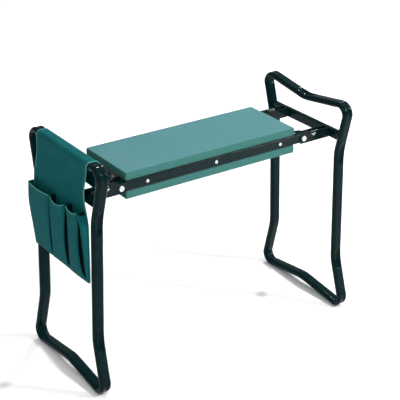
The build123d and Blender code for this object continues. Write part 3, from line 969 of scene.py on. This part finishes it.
@dataclass
class ToolBag:
    """Sewn cloth bag over the left handle: back, fold, flap, pleated pockets and binding."""

    palette: Palette
    half_width: float = 97.5 * MM
    cloth: float = 1.2 * MM
    gap: float = 0.9 * MM
    tube_half_wide: float = 12.25 * MM
    tube_half_thin: float = 6.75 * MM
    fold_w: float = 70.0 * MM
    bottom_w: float = -164.0 * MM
    flap_w: float = 15.5 * MM
    pocket_top_w: float = -22.3 * MM
    mouth_depth: float = 14.5 * MM
    hem_depth: float = 2.5 * MM
    undercut: float = 6.0 * MM
    hem_edges: tuple[float, ...] = (-98.0 * MM, -91.5 * MM, -34.0 * MM, 29.0 * MM, 96.5 * MM)
    mouth_edges: tuple[float, ...] = (-98.0 * MM, -88.0 * MM, -42.0 * MM, 11.0 * MM, 96.5 * MM)
    pleat_gaps: tuple[float, ...] = (19.0 * MM, 16.0 * MM, 7.0 * MM)
    scoops: tuple[float, ...] = (0.0, 6.0 * MM, 8.5 * MM, 2.0 * MM)
    columns: int = 60
    field_columns: int = 46
    pocket_rows: int = 64

    def __post_init__(self) -> None:
        """Finds the frame plane that the bag hangs on and the side view of its cloth."""
        self.plane = LegPlane(Side.LEFT)
        radius = self.tube_half_thin + self.gap + self.cloth / 2
        flat = self.tube_half_wide - self.tube_half_thin
        turn = np.linspace(0.0, np.pi / 2, 30)
        corner = np.stack([flat + radius * np.cos(turn), self.fold_w + radius * np.sin(turn)], axis=-1)
        reach = flat + radius
        outline = np.concatenate([[[reach, self.bottom_w]], corner, corner[::-1] * [-1, 1],
                                  [[-reach, self.flap_w]]])
        length = np.concatenate([[0.0], np.cumsum(np.linalg.norm(np.diff(outline, axis=0), axis=1))])
        self.reach = reach
        self.run = np.linspace(0.0, length[-1], 190)
        self.side_n, self.side_w = (np.interp(self.run, length, outline[:, axis]) for axis in range(2))

    def spread(self, u: np.ndarray, w: np.ndarray) -> np.ndarray:
        """Places across the cloth at a height: waisted under the fold, then flared, more in front.

        Args:
            u: places across the bag before it is shaped.
            w: heights up the frame.

        Returns:
            The shaped places across the bag.
        """
        front = smooth_step(0.5 - u / (60 * MM))
        waist = (0.045 + 0.050 * front) * np.exp(-((w - 17 * MM) / (29 * MM)) ** 2)
        flare = (0.045 + 0.045 * front) * smooth_step((-w - 20 * MM * (1 - front)) / (54 * MM))
        return u * (1.0 - waist + flare)

    def lie(self, u: np.ndarray, w: np.ndarray) -> np.ndarray:
        """How far the back stands off the frame.

        The cloth leans out below the fold, most where the pockets pull on it, and comes back towards
        the hem; shallow waves of two lengths run down it.

        Args:
            u: places across the bag.
            w: heights up the frame.

        Returns:
            The stand-off, in metres.
        """
        fall = smooth_step((58 * MM - w) / (66 * MM)) * (1 - 0.6 * smooth_step((-45 * MM - w) / (120 * MM)))
        lean = 8.0 * MM * fall * (0.12 + 0.88 * smooth_step(u / (150 * MM) + 0.6))
        hang = smooth_step((60 * MM - w) / (60 * MM))
        wave = np.sin(u / (29 * MM) + w / (60 * MM)) + 0.6 * np.sin(u / (15 * MM) - w / (35 * MM) + 1.3)
        return lean + 0.7 * MM * hang * wave

    def back_places(self, u: np.ndarray) -> np.ndarray:
        """The back sheet's points for a grid of places across the fold (rows follow the side view).

        Args:
            u: places across the fold, a row for each step of the side view.

        Returns:
            The sheet's points.
        """
        w = np.broadcast_to(self.side_w[:, None], u.shape)
        n = np.broadcast_to(self.side_n[:, None], u.shape)
        on_back = smooth_step(n / self.reach * 4 - 3)
        wide = np.where(n > 0, self.spread(u, w), u)
        flap_wave = 0.8 * MM * np.sin(u / (24 * MM)) * smooth_step((60 * MM - w) / (40 * MM)) * (n < 0)
        flap_set = 0.8 * MM * (flap_wave != 0)
        return self.plane.place(wide, w, n + on_back * self.lie(u, w) + flap_wave - flap_set)

    def back_sheet(self) -> bpy.types.Object:
        """Back, fold and flap as one sheet: the side view swept across, plus its stand-off.

        Returns:
            The sheet.
        """
        u = np.tile(np.linspace(-1.0, 1.0, self.columns) * self.half_width, (len(self.run), 1))
        cut = np.stack([u, np.broadcast_to(self.run[:, None], u.shape)], axis=-1)
        piece = make_object("bag_back_sheet", self.back_places(u).reshape(-1, 3),
                            grid_faces(len(self.run), self.columns), self.palette.bag, cut.reshape(-1, 2))
        thicken(piece, self.cloth)
        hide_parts("bag_cloth")
        return piece

    def field_section(self, width: float, first: bool, last: bool) -> tuple[np.ndarray, np.ndarray]:
        """One pocket field's cut: a share along the field and a 0 to 1 stand-off at even steps.

        The cloth starts at the back in the middle of the pleat, runs under the field, turns back over
        its edge and crosses it with a slight crown; the panel's two ends go straight up instead.

        Args:
            width: the field's width.
            first: whether its start is the panel's own end.
            last: whether its finish is the panel's own end.

        Returns:
            The share along the field and the stand-off, one value per column.
        """
        under = min(self.undercut, 0.3 * width) / width
        folded = [(0.0, 0.0), (under, 0.05), (0.75 * under, 0.40), (0.12 * under, 0.62), (0.0, 0.84)]
        straight = [(0.0, 0.0), (0.0, 0.45), (0.0, 0.88)]
        start, end = (straight if first else folded), (straight if last else folded)
        middle = [(0.05, 0.95), (0.25, 0.985), (0.5, 1.0), (0.75, 0.985), (0.95, 0.95)]
        knots = np.array(start + middle + [(1 - share, lift) for share, lift in reversed(end)])
        reach = knots * [width, self.mouth_depth]
        length = np.concatenate([[0.0], np.cumsum(np.linalg.norm(np.diff(reach, axis=0), axis=1))])
        even = np.linspace(0.0, length[-1], self.field_columns)
        cut = np.stack([np.interp(even, length, knots[:, axis]) for axis in range(2)], axis=-1)
        for _ in range(2):
            cut[1:-1] = (cut[:-2] + 2 * cut[1:-1] + cut[2:]) / 4
        return cut[:, 0], cut[:, 1]

    def pocket_sheet(self) -> bpy.types.Object:
        """The pleated pocket panel.

        Each field stands off the back by hem_depth + (mouth_depth - hem_depth) climb^0.8; between
        fields the cloth folds in under both of them, in a pleat that is widest a third of the way up
        and closes at the hem; each mouth hangs in a shallow scoop.

        Returns:
            The panel, with its mouths and girth kept for the binding and the flat size.
        """
        hem, mouth = np.array(self.hem_edges), np.array(self.mouth_edges)
        fields = len(hem) - 1
        cuts = [self.field_section(mouth[index + 1] - mouth[index], index == 0, index == fields - 1)
                for index in range(fields)]
        field_no = np.repeat(np.arange(fields), self.field_columns)
        across = np.concatenate([cut[0] for cut in cuts])
        lift = np.concatenate([cut[1] for cut in cuts])
        climb = np.linspace(0.0, 1.0, self.pocket_rows)[:, None]
        low = hem[field_no] + climb * (mouth - hem)[field_no]
        high = hem[field_no + 1] + climb * (mouth - hem)[field_no + 1]
        pleats = np.array((0.0,) + self.pleat_gaps + (0.0,))
        swell = smooth_step(climb / 0.10) * (0.34 + 0.66 * np.sin(np.pi * climb ** 0.75))
        left = low + 0.85 * pleats[field_no] * swell
        right = high - 0.15 * pleats[field_no + 1] * swell
        fold = smooth_step(climb / 0.15) * (1 - 0.75 * smooth_step((climb - 0.8) / 0.2))
        edge_pull = (1 - fold) * np.where(lift < 0.8, np.where(across < 0.5, across, across - 1), 0.0)
        u = left + (right - left) * (across - edge_pull)
        depth = self.hem_depth + (self.mouth_depth - self.hem_depth) * climb ** 0.8
        belly = 1.0 + 0.10 * np.sin(np.pi * climb) * np.sin(u / (14 * MM) + 0.7)
        out = lift * depth * belly
        scoop = np.array(self.scoops)[field_no] * (1 - np.clip(np.abs(2 * across - 1), 0, 1) ** 2)
        height = self.pocket_top_w - self.bottom_w - 1.5 * MM
        w = self.bottom_w + 1.5 * MM + climb * height - scoop * smooth_step((climb - 0.5) / 0.5)
        n = self.reach + self.lie(u, w) + self.cloth + 0.5 * MM + out
        points = self.plane.place(self.spread(u, w), w, n)
        step = np.hypot(np.diff(u[-1]), np.diff(out[-1]))
        girth = np.concatenate([[0.0], np.cumsum(step)])
        cut = np.stack(np.broadcast_arrays(girth[None, :], w - self.bottom_w), axis=-1)
        piece = make_object("bag_pocket_sheet", points.reshape(-1, 3), grid_faces(*u.shape), self.palette.bag,
                            cut.reshape(-1, 2))
        # Painted shade: the faces deep in each pleat take a near-black cloth colour, standing for the shade
        # inside the folds.
        piece.data.materials.append(self.palette.gusset)
        inside = (lift < 0.72) & (field_no + (across > 0.5) != 0) & (field_no + (across > 0.5) != fields)
        pleat_shade_faces = np.tile(inside[:-1] & inside[1:], self.pocket_rows - 1)
        piece.data.polygons.foreach_set("material_index", pleat_shade_faces.astype(np.int32))
        showing = lift > 0.80
        self.mouths = [points[-1][showing & (field_no == index)] for index in range(1, fields)]
        self.girth = float(girth[-1])
        thicken(piece, self.cloth)
        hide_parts("bag_pockets")
        return piece

    def tape(self, name: str, path: np.ndarray, toward: np.ndarray, width: float) -> bpy.types.Object:
        """Binding folded over an edge: a flattened oval section carried along the edge.

        Args:
            name: the piece's name.
            path: points along the edge.
            toward: at each point, the direction from the edge into the cloth.
            width: how far the tape reaches in.

        Returns:
            The tape.
        """
        tangent = unit(np.gradient(path, axis=0))
        face = unit(np.cross(tangent, toward))
        turn = np.linspace(0.0, 2 * np.pi, 14, endpoint=False)
        oval = np.stack([width / 2 * (1 - np.sign(np.cos(turn)) * np.abs(np.cos(turn)) ** 0.6) - 0.8 * MM,
                         (self.cloth / 2 + 0.35 * MM) * np.sign(np.sin(turn)) * np.abs(np.sin(turn)) ** 0.7],
                        axis=-1)
        surface = carry(path, oval, toward, face)
        length = np.concatenate([[0.0], np.cumsum(np.linalg.norm(np.diff(path, axis=0), axis=1))])
        girth = np.linspace(0.0, 2.4 * width, 14)
        cut = np.stack(np.broadcast_arrays(girth[None, :], length[:, None]), axis=-1)
        piece = make_object(name, surface.reshape(-1, 3), grid_faces(len(path), 14, False, True),
                            self.palette.tape, cut.reshape(-1, 2))
        tidy_mesh(piece, caps=True)
        return piece

    def edge_tapes(self) -> list[bpy.types.Object]:
        """Binding along both sides, both hems and the pocket mouth.

        Returns:
            The four edge tapes, then one tape for each pocket mouth.
        """
        sides = self.back_places(np.tile([[-self.half_width, self.half_width]], (len(self.run), 1)))
        across = np.tile(np.linspace(-1.0, 1.0, 90) * self.half_width, (len(self.run), 1))
        sheet = self.back_places(across)
        tapes = []
        for label, index, sign in (("front", 0, 1.0), ("back", 1, -1.0)):
            toward = np.broadcast_to(sign * self.plane.across, sides[:, index].shape)
            tapes.append(self.tape(f"bag_side_binding_{label}", sides[:, index], toward, 3.4 * MM))
        toward = np.broadcast_to(self.plane.upward, sheet[0].shape)
        tapes.append(self.tape("bag_lower_hem_binding", sheet[0], toward, 3.4 * MM))
        tapes.append(self.tape("bag_flap_hem_binding", sheet[-1], toward, 3.4 * MM))
        for index, mouth in enumerate(self.mouths):
            toward = np.broadcast_to(-self.plane.upward, mouth.shape)
            tapes.append(self.tape(f"bag_pocket_mouth_binding_{index + 1}", mouth, toward, 2.8 * MM))
        return tapes

    def build(self) -> list[bpy.types.Object]:
        """Builds the bag's sheets and their trim.

        Returns:
            The two sheets and all the tapes.
        """
        back, pockets = self.back_sheet(), self.pocket_sheet()
        tapes = self.edge_tapes()
        for piece in [back, pockets] + tapes:
            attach(piece, "left_leg")
        return [back, pockets] + tapes


def thicken(piece: bpy.types.Object, thickness: float) -> None:
    """Gives a sheet its thickness, evenly on both sides.

    Args:
        piece: the sheet.
        thickness: its full thickness, in metres.
    """
    solid = piece.modifiers.new("thickness", "SOLIDIFY")
    solid.thickness = thickness
    solid.offset = 0.0


# ---------------------------------------------------------------------------------------------------
# Studio


@dataclass(frozen=True)
class Strip:
    """One rectangular light: its name, place and size in metres, and power in watts."""

    name: str
    place: tuple[float, float, float]
    size: tuple[float, float]
    power: float


@dataclass
class Studio:
    """Pale floor, soft lights and the camera."""

    azimuth: float = -35.13
    elevation: float = 26.07
    roll: float = 0.36
    distance: float = 2.480
    focal: float = 105.4
    shift: tuple[float, float] = (-0.0252, 0.0367)
    target: tuple[float, float, float] = (0.0421, 0.0, 0.2489)
    surround: float = 0.38
    ceiling: float = 1.0
    ceiling_angle: float = 70.0
    floor_reach: float = 6.0
    floor_drop: float = 0.6 * MM
    aim: tuple[float, float, float] = (0.0, 0.0, 0.3)
    strips: tuple[Strip, ...] = (
        Strip("strip_front", (1.85, -1.85, 2.15), (0.20, 0.50), 80.0),
        Strip("strip_high", (1.60, 1.30, 2.60), (0.20, 0.40), 50.0),
        Strip("strip_left", (-1.9, -1.3, 2.2), (0.10, 0.30), 16.0))

    def camera(self) -> None:
        """A long-lens camera that looks at the target."""
        azimuth, elevation = math.radians(self.azimuth), math.radians(self.elevation)
        back = np.array([math.sin(azimuth) * math.cos(elevation), -math.cos(azimuth) * math.cos(elevation),
                         math.sin(elevation)])
        data = bpy.data.cameras.new("camera")
        data.lens, data.sensor_width = self.focal, 36.0
        data.shift_x, data.shift_y = self.shift
        eye = bpy.data.objects.new("camera", data)
        eye.location = np.array(self.target) + back * self.distance
        eye.rotation_mode = "XYZ"
        turn = Vector(back).to_track_quat("Z", "Y").to_matrix()
        eye.rotation_euler = (turn @ Matrix.Rotation(math.radians(self.roll), 3, "Z")).to_euler()
        bpy.context.scene.collection.objects.link(eye)
        bpy.context.scene.camera = eye

    def light(self, strip: Strip) -> None:
        """A rectangular soft light that faces the middle of the seat.

        Args:
            strip: the light's name, place, size and power.
        """
        data = bpy.data.lights.new(strip.name, "AREA")
        data.shape, data.size, data.size_y, data.energy = "RECTANGLE", *strip.size, strip.power
        lamp = bpy.data.objects.new(strip.name, data)
        lamp.location = strip.place
        lamp.rotation_euler = (Vector(strip.place) - Vector(self.aim)).to_track_quat("Z", "Y").to_euler()
        bpy.context.scene.collection.objects.link(lamp)

    def floor(self) -> None:
        """A wide flat sheet of pale paper under the feet."""
        span = np.linspace(-self.floor_reach, self.floor_reach, 2)
        x, y = np.meshgrid(span, span, indexing="ij")
        points = np.stack([x, y, np.full_like(x, -self.floor_drop)], axis=-1)
        paper = Paper("studio_paper").material()
        sheet = make_object("studio_floor", points.reshape(-1, 3), grid_faces(2, 2), paper)

    def world(self) -> None:
        """An even white surround."""
        world = bpy.data.worlds.new("surround")
        world.use_nodes = True
        world.node_tree.nodes["Background"].inputs[0].default_value = (1.0, 1.0, 1.0, 1.0)
        world.node_tree.nodes["Background"].inputs[1].default_value = self.surround
        bpy.context.scene.world = world

    def sky(self) -> None:
        """A very soft sun, so that the paper is lit evenly."""
        data = bpy.data.lights.new("ceiling", "SUN")
        data.energy, data.angle = self.ceiling, math.radians(self.ceiling_angle)
        lamp = bpy.data.objects.new("ceiling", data)
        lamp.rotation_euler = (math.radians(14.0), math.radians(10.0), 0.0)
        bpy.context.scene.collection.objects.link(lamp)

    def build(self) -> None:
        """Sets up the studio."""
        bpy.context.scene.view_settings.view_transform = "Standard"
        self.camera()
        self.floor()
        self.world()
        self.sky()
        for strip in self.strips:
            self.light(strip)


def main() -> None:
    """Builds the studio and every sub-assembly in order, and reports each piece."""
    logging.basicConfig(level=logging.INFO, format="%(name)s: %(message)s")
    Studio().build()
    palette = Palette()
    assemblies = [LegFrame(side, palette) for side in Side] + [Seat(palette)]
    assemblies += [Lock(side, palette) for side in Side] + [ToolBag(palette)]
    for assembly in assemblies:
        for piece in assembly.build():
            LOG.info("%s %d faces", piece.name, len(piece.data.polygons))


if __name__ == "__main__":
    main()
